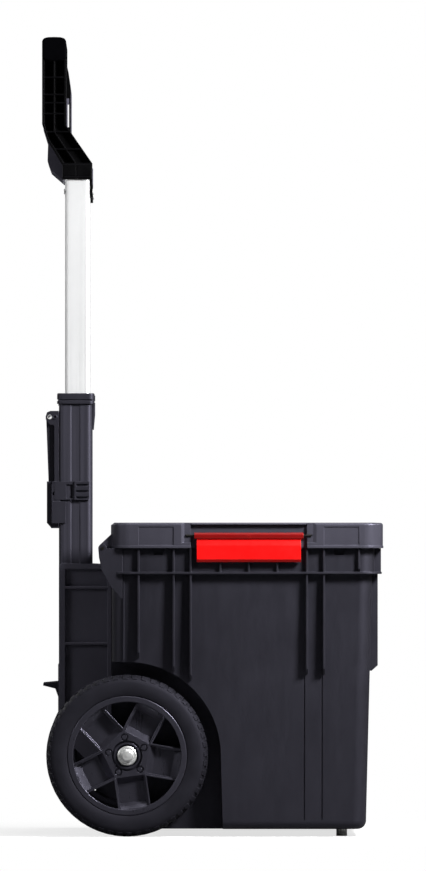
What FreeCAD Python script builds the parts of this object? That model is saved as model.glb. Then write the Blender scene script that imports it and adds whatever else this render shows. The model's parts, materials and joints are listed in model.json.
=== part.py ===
"""Rolling tool box: a moulded bin on two wheels, a latched lid and a telescopic handle.

Millimetres. +X is the front, +Y is the left side and +Z is up. The origin is on the floor, midway
between the wheels and midway between the rearmost and the foremost point.

Every driving dimension is a cell of the sheet "dims". A Size is a number that remembers the sheet
expression it came from, so plain arithmetic on sizes gives the expression that each feature is bound to.
"""

import FreeCAD, Part
import os

import Sketcher

DIMENSIONS = {
    # wheels and axle
    "wheel_radius": 105,
    "wheel_x": -111,
    "wheel_face": 284,
    "tyre_width": 46,
    "rim_radius": 76,
    "rim_lip": 77.5,
    "hub_radius": 21.5,
    "hub_bore": 8.05,
    "axle_radius": 6,
    "spoke_half": 20,
    "lug_circle": 24.2,
    # bin
    "bin_rear": -131,
    "bin_front": 208,
    "bin_front_low": 199,
    "bin_side": 277,
    "bin_side_low": 268,
    "bin_base": 9.5,
    "bin_top": 374,
    "bin_corner": 17,
    "bin_foot": 11,
    "bin_middle": 46.8,
    "wall": 3,
    "arch_radius": 121.5,
    "arch_inner": 232,
    "arch_front": 14,
    "recess_front": -92,
    "recess_top": 128,
    "flange_base": 340.8,
    "flange_thick": 2.6,
    "flange_front": 219.5,
    "flange_side": 287,
    "band_step": 2,
    "rib_side": 285,
    "rib_front": 214.5,
    "rib_thick": 2.4,
    "rib_foot": 211,
    # lid
    "lid_rear": -132,
    "lid_front": 221,
    "lid_side": 288,
    "lid_base": 374.3,
    "lid_top": 407,
    "lid_corner": 24,
    "lid_border": 25,
    "lid_panel": 385.5,
    "rail_inner": 226,
    "hinge_x": -143,
    "hinge_z": 374,
    "hinge_pin": 2,
    # latch
    "latch_half": 70.7,
    "bay_half": 75.4,
    "latch_y": 287,
    "latch_z": 390.6,
    "latch_recess": 282,
    "latch_low": 356.2,
    # telescopic tubes
    "tube_y": 165,
    "outer_rear": -200,
    "outer_front": -157,
    "outer_half": 15,
    "outer_wall": 2.5,
    "outer_low": 141,
    "outer_top": 562,
    "inner_rear": -192,
    "inner_front": -160,
    "inner_half": 10,
    "inner_wall": 1.5,
    "inner_low": 415,
    "collar_top": 576,
    "lock_z": 449,
    # rear frame
    "frame_half": 25,
    "frame_top": 355,
    "step_z": 197,
    "step_tip": -221,
    # carry handle
    "carry_x": -212,
    "carry_z": 545,
    "carry_low": 401,
    # pull handle
    "arm_rear": -222,
    "arm_front": -190.5,
    "arm_inner": 151,
    "arm_outer": 179,
    "socket_low": 855,
    "socket_top": 873.6,
    "grip_low": 1009,
    "grip_top": 1040.5,
    # running clearance between separate pieces
    "gap": 0.2,
}


def value_of(size):
    return size.value if isinstance(size, Size) else size


def text_of(size):
    return size.text if isinstance(size, Size) else f"({size})"


class Size:
    """A length that knows its value and the sheet expression that gives it."""

    def __init__(self, value, text):
        self.value = value
        self.text = text

    def __add__(self, other):
        return Size(self.value + value_of(other), f"({self.text} + {text_of(other)})")

    def __sub__(self, other):
        return Size(self.value - value_of(other), f"({self.text} - {text_of(other)})")

    def __mul__(self, other):
        return Size(self.value * value_of(other), f"({self.text} * {text_of(other)})")

    def __truediv__(self, other):
        return Size(self.value / value_of(other), f"({self.text} / {text_of(other)})")

    def __neg__(self):
        return Size(-self.value, f"(0 - {self.text})")

    __radd__ = __add__
    __rmul__ = __mul__

    def __rsub__(self, other):
        return -self + other


class Sheet:
    """The dimension sheet: each alias is an attribute that gives a Size."""

    def __init__(self, doc):
        cells = doc.addObject("Spreadsheet::Sheet", "dims")
        for row, (name, value) in enumerate(DIMENSIONS.items(), start=1):
            cells.set(f"A{row}", name)
            cells.set(f"B{row}", str(value))
            cells.setAlias(f"B{row}", name)
            setattr(self, name, Size(value, f"dims.{name}"))


DOC = FreeCAD.newDocument("rolling_tool_box")
S = Sheet(DOC)
DOC.recompute()
FINISHED = []


# ---------------------------------------------------------------- features


def bind(item, path, size):
    """Ties a property of an object to the sheet, or sets it where the size is a plain number."""
    item.setExpression(path, text_of(size))


def new_body():
    return DOC.addObject("PartDesign::Body", "body")


def outline(body, plane, points, offset=0):
    """A closed polygon sketch, each corner tied to the sheet by its two distances from the origin."""
    sketch = body.newObject("Sketcher::SketchObject", "outline")
    support = next(f for f in body.Origin.OriginFeatures if f.Role == plane + "_Plane")
    sketch.AttachmentSupport = [(support, "")]
    sketch.MapMode = "FlatFace"
    bind(sketch, "AttachmentOffset.Base.z", offset)
    corners = [FreeCAD.Vector(value_of(u), value_of(v), 0) for u, v in points]
    count = len(corners)
    sketch.addGeometry([Part.LineSegment(corners[i], corners[(i + 1) % count]) for i in range(count)])
    corners = [Sketcher.Constraint("Coincident", i, 2, (i + 1) % count, 1) for i in range(count)]
    sketch.addConstraint(corners)
    for i, point in enumerate(points):
        for kind, size in zip(("DistanceX", "DistanceY"), point):
            index = sketch.addConstraint(Sketcher.Constraint(kind, -1, 1, i, 1, value_of(size)))
            bind(sketch, f"Constraints[{index}]", size)
    return sketch


def disc_outline(body, plane, centre, radius, offset=0):
    """A circle sketch with its centre and radius tied to the sheet."""
    sketch = body.newObject("Sketcher::SketchObject", "circle")
    support = next(f for f in body.Origin.OriginFeatures if f.Role == plane + "_Plane")
    sketch.AttachmentSupport = [(support, "")]
    sketch.MapMode = "FlatFace"
    bind(sketch, "AttachmentOffset.Base.z", offset)
    middle = FreeCAD.Vector(value_of(centre[0]), value_of(centre[1]), 0)
    sketch.addGeometry(Part.Circle(middle, FreeCAD.Vector(0, 0, 1), value_of(radius)))
    for kind, size in zip(("DistanceX", "DistanceY"), centre):
        index = sketch.addConstraint(Sketcher.Constraint(kind, -1, 1, 0, 3, value_of(size)))
        bind(sketch, f"Constraints[{index}]", size)
    index = sketch.addConstraint(Sketcher.Constraint("Radius", 0, value_of(radius)))
    bind(sketch, f"Constraints[{index}]", radius)
    return sketch


def pad(body, sketch, length):
    feature = body.newObject("PartDesign::Pad", "pad")
    feature.Profile = sketch
    bind(feature, "Length", length)
    return feature


def pocket(body, sketch, length, both_ways=False):
    """Cuts the sketch out of the body, against the sketch's normal or to both sides of it."""
    feature = body.newObject("PartDesign::Pocket", "pocket")
    feature.Profile = sketch
    bind(feature, "Length", length)
    feature.Midplane = both_ways
    return feature


def prism(plane, points, span):
    """A body: a polygon in a plane, padded between two distances along the plane's own axis."""
    low, high = span
    body = new_body()
    start = -high if plane == "XZ" else low
    pad(body, outline(body, plane, points, start), high - low)
    return body


def soften(body, kind, size, chosen):
    """Adds a Fillet or Chamfer on those edges of the body that chosen() accepts."""
    DOC.recompute()
    tip = body.Tip
    names = [f"Edge{i}" for i, edge in enumerate(tip.Shape.Edges, start=1) if chosen(edge)]
    feature = body.newObject("PartDesign::" + kind, kind.lower())
    feature.Base = (tip, names)
    bind(feature, "Radius" if kind == "Fillet" else "Size", size)
    return body


def along(axis):
    """A test for straight edges that run along one axis: 0 is X, 1 is Y and 2 is Z."""

    def test(edge):
        start, end = edge.Vertexes[0].Point, edge.Vertexes[-1].Point
        return all(abs(start[k] - end[k]) < 1e-6 for k in range(3) if k != axis)

    return test


def at_height(size):
    """A test for edges that lie wholly at one height."""
    return lambda edge: all(abs(v.Z - value_of(size)) < 1e-6 for v in edge.Vertexes)


def box(x, y, z):
    """A Part::Box between two corners, given as one (low, high) pair for each axis."""
    item = DOC.addObject("Part::Box", "box")
    for axis, length, (low, high) in zip("xyz", ("Length", "Width", "Height"), (x, y, z)):
        bind(item, length, high - low)
        bind(item, f"Placement.Base.{axis}", low)
    return item


def bar(axis, x, y, z, radius):
    """A box whose four edges along one axis are rounded."""
    body = new_body()
    corners = [(x[0], y[0]), (x[1], y[0]), (x[1], y[1]), (x[0], y[1])]
    pad(body, outline(body, "XY", corners, z[0]), z[1] - z[0])
    return soften(body, "Fillet", radius, along(axis))


def rod(axis, centre, radius, span):
    """A cylinder along an axis. The centre gives the other two coordinates, in X, Y, Z order."""
    item = DOC.addObject("Part::Cylinder", "rod")
    low, high = span
    turn = {
        "x": FreeCAD.Rotation(FreeCAD.Vector(0, 1, 0), 90),
        "y": FreeCAD.Rotation(FreeCAD.Vector(1, 0, 0), -90),
        "z": FreeCAD.Rotation(),
    }[axis]
    item.Placement = FreeCAD.Placement(FreeCAD.Vector(), turn)
    places = dict(zip([a for a in "xyz" if a != axis], centre))
    places[axis] = low
    for name, size in places.items():
        bind(item, f"Placement.Base.{name}", size)
    bind(item, "Radius", radius)
    bind(item, "Height", high - low)
    return item


def fuse(*items):
    if len(items) == 1:
        return items[0]
    result = DOC.addObject("Part::MultiFuse", "fuse")
    result.Shapes = list(items)
    return result


def cut(base, *tools):
    result = DOC.addObject("Part::Cut", "cut")
    result.Base = base
    result.Tool = fuse(*tools)
    return result


def common(*items):
    result = DOC.addObject("Part::MultiCommon", "common")
    result.Shapes = list(items)
    return result


def mirror(source):
    """The same shape on the other side of the middle plane."""
    result = DOC.addObject("Part::Mirroring", "mirror")
    result.Source = source
    result.Normal = FreeCAD.Vector(0, 1, 0)
    return result


def both(*items):
    """Each shape together with its mirror image."""
    return fuse(*items, *[mirror(item) for item in items])


def finish(item, label):
    """Marks an object as a sub-part. Its label names its file."""
    item.Label = label
    FINISHED.append(item)
    return item


def finish_pair(item, name):
    """Marks a left-hand shape as a sub-part and adds its right-hand mirror image."""
    finish(item, name + "_left")
    finish(mirror(item), name + "_right")


def from_tube(distance):
    """A distance across from the left tube's centre line."""
    return S.tube_y + distance


# ---------------------------------------------------------------- bin


def tapered_block(inset, low, high, foot):
    """The bin's outline moved in by inset: upright at the back, drawn in downwards elsewhere."""
    rear = S.bin_rear + inset
    low_front, low_side = S.bin_front_low - inset, S.bin_side_low - inset
    high_front, high_side = S.bin_front - inset, S.bin_side - inset
    clear_side = S.lid_side + 40
    points = [(rear, low), (low_front, low), (high_front, high), (rear, high)]
    body = prism("XZ", points, (-S.lid_side, S.lid_side))
    for sign in (-1, 1):
        slice_points = [
            (sign * low_side, low),
            (sign * high_side, high),
            (sign * clear_side, high),
            (sign * clear_side, low),
        ]
        pocket(body, outline(body, "YZ", slice_points), S.lid_front * 4, both_ways=True)
    soften(body, "Fillet", S.bin_corner - inset, lambda e: abs(e.Vertexes[0].Z - e.Vertexes[-1].Z) > 1)
    return soften(body, "Fillet", foot, at_height(low))


def wheel_well(grow):
    """The space cut out for the left wheel, grown by a wall thickness for the skin round it."""
    inner, outer = S.arch_inner - grow, S.lid_side + 20
    radius = S.arch_radius + grow
    behind = S.bin_rear - 60
    top = rod("y", (S.wheel_x, S.wheel_radius), radius, (inner, outer))
    rear = box((behind, S.wheel_x), (inner, outer), (S.wheel_radius, S.wheel_radius + radius))
    front_low = S.arch_front + grow
    leg_points = [
        (behind, -20),
        (front_low, -20),
        (S.wheel_x + radius, S.wheel_radius),
        (behind, S.wheel_radius),
    ]
    return fuse(top, rear, prism("XZ", leg_points, (inner, outer)))


def axle_recess(grow):
    """The step in the bin's lower back that the axle and its beam run through."""
    side = S.arch_inner + 1
    return box((S.bin_rear - 60, S.recess_front + grow), (-side, side), (-20, S.recess_top + grow))


def side_rib_places():
    """X of each upright rib on the bin's side and the height where it ends, evenly about the middle."""
    high_foot = S.rib_foot + 21
    offsets = [
        (75.4, S.rib_foot, S.rib_foot - 8),
        (97.5, S.rib_foot, S.rib_foot + 3),
        (143, S.flange_base, high_foot),
    ]
    places = []
    for offset, front_foot, rear_foot in offsets:
        places.append((S.bin_middle + offset, front_foot))
        places.append((S.bin_middle - offset, rear_foot))
    return places


def side_ribs():
    """Upright blades on the left side, each with a sloping foot, and a short one on the rear corner."""
    inside = S.bin_side - 14
    half = S.rib_thick / 2
    blades = []
    for place, foot in side_rib_places():
        points = [
            (inside, foot),
            (S.rib_side - 6, foot),
            (S.rib_side, foot + 7),
            (S.rib_side, S.bin_top),
            (inside, S.bin_top),
        ]
        blades.append(prism("YZ", points, (place - half, place + half)))
    corner_place = S.bin_rear + 15.5
    corner_foot = S.wheel_radius + S.arch_radius + S.wall
    corner = box(
        (corner_place - half / 2, corner_place + half / 2),
        (inside, S.bin_side),
        (corner_foot, S.flange_base),
    )
    return [*blades, corner]


def side_grooves():
    """Two fine upright grooves on the left side, below the front pair of ribs."""
    depth = 1.2
    draft = (S.bin_side - S.bin_side_low) / (S.bin_top - S.bin_base)
    side_at_foot = S.bin_side_low + draft * (S.rib_foot - S.bin_base)
    low, high = S.bin_base + S.bin_foot + 1, S.rib_foot - 1
    points = [
        (S.bin_side_low - depth, low),
        (side_at_foot - depth, high),
        (side_at_foot + 5, high),
        (S.bin_side_low + 5, low),
    ]
    middles = [S.bin_middle + offset for offset in (72, 95)]
    return [prism("YZ", points, (middle - 0.9, middle + 0.9)) for middle in middles]


def front_ribs():
    """Upright blades on the front, left of the middle."""
    inside = S.bin_front - 14
    blades = []
    for place in (98, 122, 214, 250):
        points = [
            (inside, S.rib_foot + 4),
            (S.rib_front - 8, S.rib_foot + 4),
            (S.rib_front, S.rib_foot + 11),
            (S.rib_front, S.flange_base),
            (S.flange_front - 0.8, S.flange_base),
            (S.flange_front - 0.8, S.bin_top),
            (inside, S.bin_top),
        ]
        blades.append(prism("XZ", points, (place - S.rib_thick / 2, place + S.rib_thick / 2)))
    return blades


def flange():
    """The flat lip round the front and the sides, left off behind, where the rear frame stands."""
    plate = bar(
        2,
        (S.lid_rear, S.flange_front),
        (-S.flange_side, S.flange_side),
        (S.flange_base, S.flange_base + S.flange_thick),
        S.lid_corner,
    )
    behind = (S.lid_rear - 10, S.bin_rear)
    return cut(plate, box(behind, (-240, 240), (S.flange_base - 5, S.flange_base + 10)))


def rim_band():
    """The slightly thicker band between the flange and the lid."""
    side = S.bin_side + S.band_step
    return bar(
        2,
        (S.bin_rear, S.bin_front + S.band_step),
        (-side, side),
        (S.flange_base, S.bin_top),
        S.bin_corner,
    )


def front_grip():
    """The hand hold along the middle of the front: an upright lip on the flange, tied back by blades."""
    reach = 98
    heights = (S.flange_base, S.bin_top - 1.5)
    lip = box((S.flange_front - 3, S.flange_front), (-reach, reach), heights)
    half = S.rib_thick / 2
    depth = (S.bin_front - 1, S.flange_front - 1)
    places = (-reach + half, 0, reach - half)
    blades = [box(depth, (place - half, place + half), heights) for place in places]
    return [lip, *blades]


def hinge_ears():
    """The bin's two hinge ears on the left: a plain inner one and an outer one with a long fin below it."""
    radius = 5.5
    inner_span, outer_span = (250, 257.7), (272.3, 280)
    inner_ear = box((S.hinge_x, S.hinge_x + 26), inner_span, (S.hinge_z - radius, S.hinge_z))
    fin_points = [
        (S.hinge_x - radius, S.hinge_z),
        (S.hinge_x - 4.5, S.hinge_z - 12),
        (S.hinge_x - 1, S.hinge_z - 28),
        (S.hinge_x + 11, S.hinge_z - 50),
        (S.hinge_x + 24, S.hinge_z - 65),
        (S.hinge_x + 26, S.hinge_z - 65),
        (S.hinge_x + 26, S.hinge_z),
    ]
    eyes = [rod("y", (S.hinge_x, S.hinge_z), radius, span) for span in (inner_span, outer_span)]
    return fuse(inner_ear, prism("XZ", fin_points, outer_span), *eyes)


def latch_keeper():
    """The ledge on the band that the left latch closes below, with the three short ribs under it."""
    side = S.bin_side + S.band_step
    ledge_points = [
        (side - 2, S.latch_low + 4.2),
        (side + 2.6, S.latch_low + 5.3),
        (side + 2.6, S.latch_low + 8.8),
        (side - 2, S.latch_low + 12.8),
    ]
    ledge = prism("YZ", ledge_points, (S.bin_middle - 62, S.bin_middle + 62))
    ribs = []
    for offset in (-37, 0, 37):
        middle = S.bin_middle + offset
        heights = (S.flange_base, S.latch_low - 1)
        ribs.append(box((middle - 1, middle + 1), (side - 2, S.rib_side - 1), heights))
    return [ledge, *ribs]


def drain_notches():
    """Shaped notches in the outside of the band's top edge, two on the left side."""
    side = S.bin_side + S.band_step
    edge, floor = S.bin_top + 1, S.bin_top - 8.5
    tools = []
    for offset in (-117.5, 117.5):
        middle = S.bin_middle + offset
        points = [(middle - 9, edge), (middle - 5.6, floor), (middle + 5.6, floor), (middle + 9, edge)]
        tools.append(prism("XZ", points, (side - 3.5, side + 3)))
    return tools


FOOT_X = 168
FOOT_Y = 222
FRAME_SCREWS = [(y, z) for y in (-105, 0, 105) for z in (165, 325)]


def make_bin():
    """The bin: a tapered shell with its flange, band, ribs, hinge ears, wheel wells and axle recess."""
    shell = tapered_block(0, S.bin_base, S.bin_top, S.bin_foot)
    cavity = tapered_block(S.wall, S.bin_base + S.wall, S.bin_top + 4, S.bin_foot)
    outside = fuse(
        shell,
        flange(),
        rim_band(),
        *front_grip(),
        both(hinge_ears(), *side_ribs(), *front_ribs(), *latch_keeper()),
    )
    hollow = cut(cavity, both(wheel_well(S.wall)), axle_recess(S.wall))
    pin_hole = rod("y", (S.hinge_x, S.hinge_z), S.hinge_pin + 0.05, (245, 285))
    foot_hole = rod("z", (FOOT_X, FOOT_Y), 4.2, (S.bin_base - 2, S.bin_base + 10))
    screw_holes = [rod("x", place, 3.2, (S.bin_rear - 5, S.bin_rear + 8)) for place in FRAME_SCREWS]
    shaped = cut(
        outside,
        hollow,
        both(wheel_well(0), pin_hole, foot_hole, *drain_notches(), *side_grooves()),
        axle_recess(0),
        *screw_holes,
    )
    finish(shaped, "bin")


def make_feet():
    """Rubber buttons under the front corners, held by a barbed stem through the floor."""
    pad_part = rod("z", (FOOT_X, FOOT_Y), 7, (0, S.bin_base - S.gap))
    stem = rod("z", (FOOT_X, FOOT_Y), 4, (S.bin_base - 1, S.bin_base + S.wall + 5))
    barb = rod("z", (FOOT_X, FOOT_Y), 6, (S.bin_base + S.wall + S.gap, S.bin_base + S.wall + 3))
    finish_pair(fuse(pad_part, stem, barb), "front_foot")


def make_hinge_pins():
    """One plain pin through each pair of hinge ears."""
    finish_pair(rod("y", (S.hinge_x, S.hinge_z), S.hinge_pin, (249.4, 281)), "hinge_pin")


# ---------------------------------------------------------------- lid


def latch_bay():
    """The space in the lid's left side that the latch lies in."""
    across = (S.bin_middle - S.bay_half, S.bin_middle + S.bay_half)
    return box(across, (S.latch_recess, S.lid_side + 5), (S.lid_base - 5, S.lid_top - 2))


def bay_backing():
    """The part of the lid's left side that stays solid round the latch bay and its facets."""
    reach = S.bay_half + 16
    across = (S.bin_middle - reach, S.bin_middle + reach)
    return box(across, (S.latch_recess - 2.5, S.lid_side), (S.lid_base - 5, S.lid_top + 5))


def lid_facets():
    """Cuts in the lid's left side: a shallow step into each end of the latch bay, and a panel."""
    tools = []
    step_face = S.lid_side - 1.8
    clear = S.lid_side + 3
    for sign in (-1, 1):
        points = [
            (S.bin_middle + sign * (S.bay_half - 1), clear),
            (S.bin_middle + sign * (S.bay_half - 1), step_face),
            (S.bin_middle + sign * (S.bay_half + 8), step_face),
            (S.bin_middle + sign * (S.bay_half + 12.5), S.lid_side + 0.1),
            (S.bin_middle + sign * (S.bay_half + 12.5), clear),
        ]
        tools.append(prism("XY", points, (S.lid_base + 7, S.lid_top + 5)))
        near, far = sorted((S.bin_middle + sign * 97.5, S.bin_middle + sign * 143), key=value_of)
        tools.append(box((near, far), (S.lid_side - 1, clear), (S.lid_base + 4, S.lid_top - 5)))
    return tools


def panel_ribs():
    """Low anti-slip bars on the sunken top panel."""
    lengthwise = (S.lid_rear + 42, S.lid_front - 60)
    heights = (S.lid_panel - 1, S.lid_panel + 1.6)
    pitch, half = 38, 7
    return [
        bar(2, lengthwise, (pitch * n - half, pitch * n + half), heights, half - 0.1)
        for n in range(-5, 6)
    ]


def lid_block(inset, low, high):
    """The lid's outline moved in by inset, between two heights."""
    return bar(
        2,
        (S.lid_rear + inset, S.lid_front - inset),
        (inset - S.lid_side, S.lid_side - inset),
        (low, high),
        S.lid_corner - inset,
    )


def lid_hollow():
    """The room under the lid: low under the sunken panel, tall under the side rails and the front."""
    below = S.lid_base - 5
    inner_edge = S.rail_inner + S.wall
    everywhere = (S.lid_rear - 10, S.lid_front + 10)
    under_panel = box(everywhere, (-S.lid_side, S.lid_side), (below, S.lid_panel - S.wall))
    under_rail = box(everywhere, (inner_edge, S.lid_side), (below, S.lid_top))
    front = (S.lid_front - S.lid_border + S.wall, S.lid_front)
    under_front = box(front, (-S.lid_side, S.lid_side), (below, S.lid_top))
    rooms = fuse(under_panel, under_front, both(under_rail))
    within = lid_block(S.wall, below, S.lid_top - S.wall)
    return cut(common(within, rooms), both(bay_backing()))


def make_lid():
    """The lid: a rimmed shell with a sunken panel, hinge knuckles and a bay for each latch."""
    block = soften(lid_block(0, S.lid_base, S.lid_top), "Fillet", 3, at_height(S.lid_top))
    lip = lid_block(-0.6, S.lid_base, S.lid_base + 3)
    slope_points = [
        (S.lid_rear - 5, S.lid_top + 5),
        (S.lid_rear - 5, S.lid_top - 3),
        (S.lid_rear, S.lid_top - 3),
        (S.lid_rear + 4, S.lid_top),
        (S.lid_rear + 4, S.lid_top + 5),
    ]
    slope = prism("XZ", slope_points, (-S.lid_side - 5, S.lid_side + 5))
    behind = (S.lid_rear - 5, S.lid_rear)
    rear_trim = box(behind, (-S.lid_side, S.lid_side), (S.lid_base - 5, S.lid_base + 5))
    panel_span = (S.lid_rear - 10, S.lid_front - S.lid_border)
    sunken = box(panel_span, (-S.rail_inner, S.rail_inner), (S.lid_panel, S.lid_top + 5))
    knuckle_span = (258, 272)
    knuckle_points = [
        (S.hinge_x - 4, S.hinge_z + 4),
        (S.hinge_x, S.hinge_z + 1),
        (S.lid_rear + 12, S.hinge_z + 1),
        (S.lid_rear + 12, S.hinge_z + 20),
        (S.lid_rear + 2, S.hinge_z + 20),
    ]
    wedge = prism("XZ", knuckle_points, knuckle_span)
    knuckle = rod("y", (S.hinge_x, S.hinge_z), 5.5, knuckle_span)
    knuckle_hole = rod("y", (S.hinge_x, S.hinge_z), S.hinge_pin + 0.06, (250, 280))
    ear_room = rod("y", (S.hinge_x, S.hinge_z), 6, (249, 258))
    pin_reach = S.bay_half + 7
    pin_span = (S.bin_middle - pin_reach, S.bin_middle + pin_reach)
    latch_hole = rod("x", (S.latch_y, S.latch_z), 1.55, pin_span)
    outside = cut(fuse(block, lip), slope, rear_trim)
    side_cuts = both(latch_bay(), ear_room, *lid_facets())
    shell = cut(fuse(outside, both(wedge)), sunken, lid_hollow(), side_cuts)
    whole = fuse(shell, *panel_ribs(), both(knuckle))
    finish(cut(whole, both(knuckle_hole, latch_hole)), "lid")


def make_seal():
    """The soft ring between the bin's rim and the lid."""
    reach = 5
    outer = bar(
        2,
        (S.lid_rear + S.wall + 0.4, S.bin_front + S.band_step),
        (-S.bin_side - S.band_step, S.bin_side + S.band_step),
        (S.bin_top + S.gap, S.lid_panel - S.wall - S.gap),
        S.bin_corner,
    )
    inner = bar(
        2,
        (S.bin_rear + reach + 2, S.bin_front - reach),
        (-S.bin_side + reach, S.bin_side - reach),
        (S.bin_top - 5, S.lid_panel),
        S.bin_corner - reach,
    )
    finish(cut(outer, inner), "lid_seal")


def make_latches():
    """A wide pull latch: a barrel strip along the top, and a bevelled flap that hooks under the keeper."""
    low, high = S.bin_middle - S.latch_half, S.bin_middle + S.latch_half
    face = S.latch_y + 4
    barrel = rod("x", (S.latch_y, S.latch_z), 3.9, (low, high))
    strip_points = [
        (S.latch_y, S.latch_z - 4.2),
        (face - 1, S.latch_z - 4.2),
        (face - 0.2, S.latch_z - 3.2),
        (face - 0.2, S.latch_z + 1),
        (S.latch_y, S.latch_z + 3.6),
    ]
    strip = prism("YZ", strip_points, (low, high))
    bevel = S.latch_low + 3.4
    flap_points = [
        (S.latch_y - 3, S.latch_z),
        (S.latch_y - 2.2, S.latch_low + 5),
        (S.latch_y - 4.6, S.latch_low + 2.8),
        (S.latch_y - 4.6, S.latch_low),
        (face - 3, S.latch_low),
        (face, bevel),
        (face, S.latch_z - 12.8),
        (face - 2.4, S.latch_z - 7),
        (face - 2.4, S.latch_z),
    ]
    flap = prism("YZ", flap_points, (low + 3.1, high - 3.1))
    hole = rod("x", (S.latch_y, S.latch_z), 1.6, (low - 5, high + 5))
    nib = box((S.bin_middle - 2, S.bin_middle + 2), (face - 1, face), (S.latch_z - 3, S.latch_z + 0.5))
    finish_pair(cut(fuse(barrel, strip, flap, nib), hole), "latch")
    reach = S.bay_half + 6
    pin = rod("x", (S.latch_y, S.latch_z), 1.5, (S.bin_middle - reach, S.bin_middle + reach))
    finish_pair(pin, "latch_pin")


# ---------------------------------------------------------------- wheels


def ring(points):
    """A body turned round its own Y axis from a (radius, width) outline."""
    body = new_body()
    sketch = outline(body, "XY", points)
    turn = body.newObject("PartDesign::Revolution", "revolution")
    turn.Profile = sketch
    turn.ReferenceAxis = (sketch, ["V_Axis"])
    turn.Angle = 360
    return body


def round_axle(body, count, feature):
    """Repeats a feature evenly round the body's Y axis."""
    pattern = body.newObject("PartDesign::PolarPattern", "pattern")
    pattern.Originals = [feature]
    axis = next(f for f in body.Origin.OriginFeatures if f.Role == "Y_Axis")
    pattern.Axis = (axis, [""])
    pattern.Angle = 360
    pattern.Occurrences = count
    body.Tip = pattern
    return pattern


def on_axle(item, turn=0):
    """Moves a wheel piece, made round the origin, to its place on the left end of the axle."""
    item.Placement.Rotation = FreeCAD.Rotation(FreeCAD.Vector(0, 1, 0), turn)
    bind(item, "Placement.Base.x", S.wheel_x)
    bind(item, "Placement.Base.y", S.wheel_face - S.tyre_width / 2)
    bind(item, "Placement.Base.z", S.wheel_radius)
    return item


SPOKES = 5
FACE = 14.5


def wheel_disc():
    """The spoked disc: windows with a raised lip, and a sunken pad with sloping ends in each spoke."""
    body = ring([(S.hub_bore, 1), (S.rim_radius - 2, 1), (S.rim_radius - 2, FACE), (S.hub_bore, FACE)])
    apex = S.spoke_half / 0.5878 + 2
    reach = S.rim_radius + 8
    spread = (reach - apex) * 0.7265
    ridge = 2.6
    wide = spread + ridge * 1.1
    lip = pad(body, outline(body, "XZ", [(0, apex - ridge), (wide, reach), (-wide, reach)], -FACE - 1.4), 3)
    round_axle(body, SPOKES, lip)
    window = outline(body, "XZ", [(0, apex), (spread, reach), (-spread, reach)])
    round_axle(body, SPOKES, pocket(body, window, 80, both_ways=True))
    slot = body.newObject("Sketcher::SketchObject", "pad_outline")
    support = next(f for f in body.Origin.OriginFeatures if f.Role == "YZ_Plane")
    slot.AttachmentSupport = [(support, "")]
    slot.MapMode = "FlatFace"
    corners = [(FACE + 1, -26), (6.5, -35), (6.5, -60), (FACE + 1, -70)]
    points = [FreeCAD.Vector(u, v, 0) for u, v in corners]
    slot.addGeometry([Part.LineSegment(points[i], points[(i + 1) % 4]) for i in range(4)])
    slot.addConstraint([Sketcher.Constraint("Coincident", i, 2, (i + 1) % 4, 1) for i in range(4)])
    slot.addConstraint([Sketcher.Constraint("Block", i) for i in range(4)])
    cutter = pocket(body, slot, S.spoke_half * 2 - 5, both_ways=True)
    round_axle(body, SPOKES, cutter)
    return common(body, rod("y", (0, 0), S.rim_radius - 3, (0, FACE + 3)))


def studs(radius, low, high):
    """A body of round studs on the lug circle, one for each window."""
    body = new_body()
    stud = pad(body, disc_outline(body, "XZ", (0, S.lug_circle), radius, -high), high - low)
    DOC.recompute()
    round_axle(body, SPOKES, stud)
    return body


def make_rim(turn):
    """The wheel's moulding: spoked disc, hub with its collar, lugs in pits, and the barrel with its lip."""
    inner = S.rim_radius - 6
    lip_back, lip_face = 20.5, 22.4
    barrel = ring(
        [
            (inner, -20),
            (S.rim_radius, -20),
            (S.rim_radius, lip_back),
            (S.rim_lip, lip_back),
            (S.rim_lip, lip_face - 0.8),
            (S.rim_lip - 1, lip_face),
            (inner + 0.6, lip_face),
            (inner, lip_face - 0.6),
        ]
    )
    hub = ring(
        [
            (S.hub_bore, -22),
            (S.hub_radius - 7.5, -22),
            (S.hub_radius, 4),
            (S.hub_radius, FACE),
            (S.hub_bore, FACE),
        ]
    )
    pit_floor = FACE - 6
    pit = rod("y", (0, 0), S.hub_radius - 1.5, (pit_floor, FACE + 5))
    seat = ring(
        [
            (S.hub_bore, pit_floor - 1),
            (S.hub_bore + 5, pit_floor - 1),
            (S.hub_bore + 4, FACE - 3),
            (S.hub_bore, FACE - 3),
        ]
    )
    collar_outer = S.hub_radius - 4.3
    collar = ring(
        [
            (collar_outer - 2, pit_floor - 1),
            (collar_outer, pit_floor - 1),
            (collar_outer, FACE - 0.6),
            (collar_outer - 2, FACE - 0.6),
        ]
    )
    disc = cut(fuse(wheel_disc(), hub), pit, studs(4.9, FACE - 3.5, FACE + 4))
    lugs = studs(3.1, FACE - 4, FACE - 0.4)
    return on_axle(fuse(disc, barrel, seat, collar, lugs), turn)


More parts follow.
